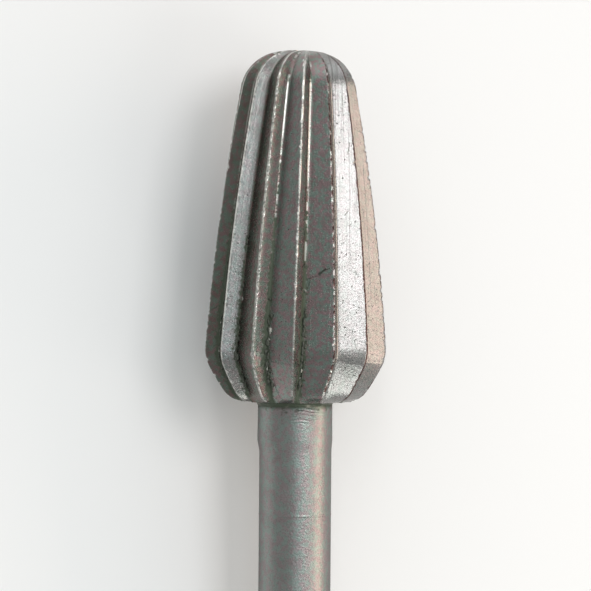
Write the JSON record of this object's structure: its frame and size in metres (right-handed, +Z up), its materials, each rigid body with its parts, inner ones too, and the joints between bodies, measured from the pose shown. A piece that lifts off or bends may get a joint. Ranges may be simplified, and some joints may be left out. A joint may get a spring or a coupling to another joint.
{
  "type": "carbide burr",
  "caption": "Fluted round-ended taper burr head of cemented carbide, brazed on a plain handpiece shank, for shaping hard materials",
  "frame": {"origin": "middle of the bounding box in X and Y, on the surface that the burr lies on", "axes": "+Y runs along the tool from shank to tip, +Z up, +X across the tool"},
  "size_m": [0.006, 0.0444, 0.0059],
  "materials": {
    "ground_carbide": "ground cemented carbide, grey, fine lengthwise grinding marks",
    "braze": "silver braze, dull and slightly warm",
    "shank_steel": "cylindrically ground steel, satin"
  },
  "bodies": {
    "root": {"cutter_head": "ground_carbide", "braze_joint": "braze", "shank": "shank_steel"}
  },
  "joints": []
}
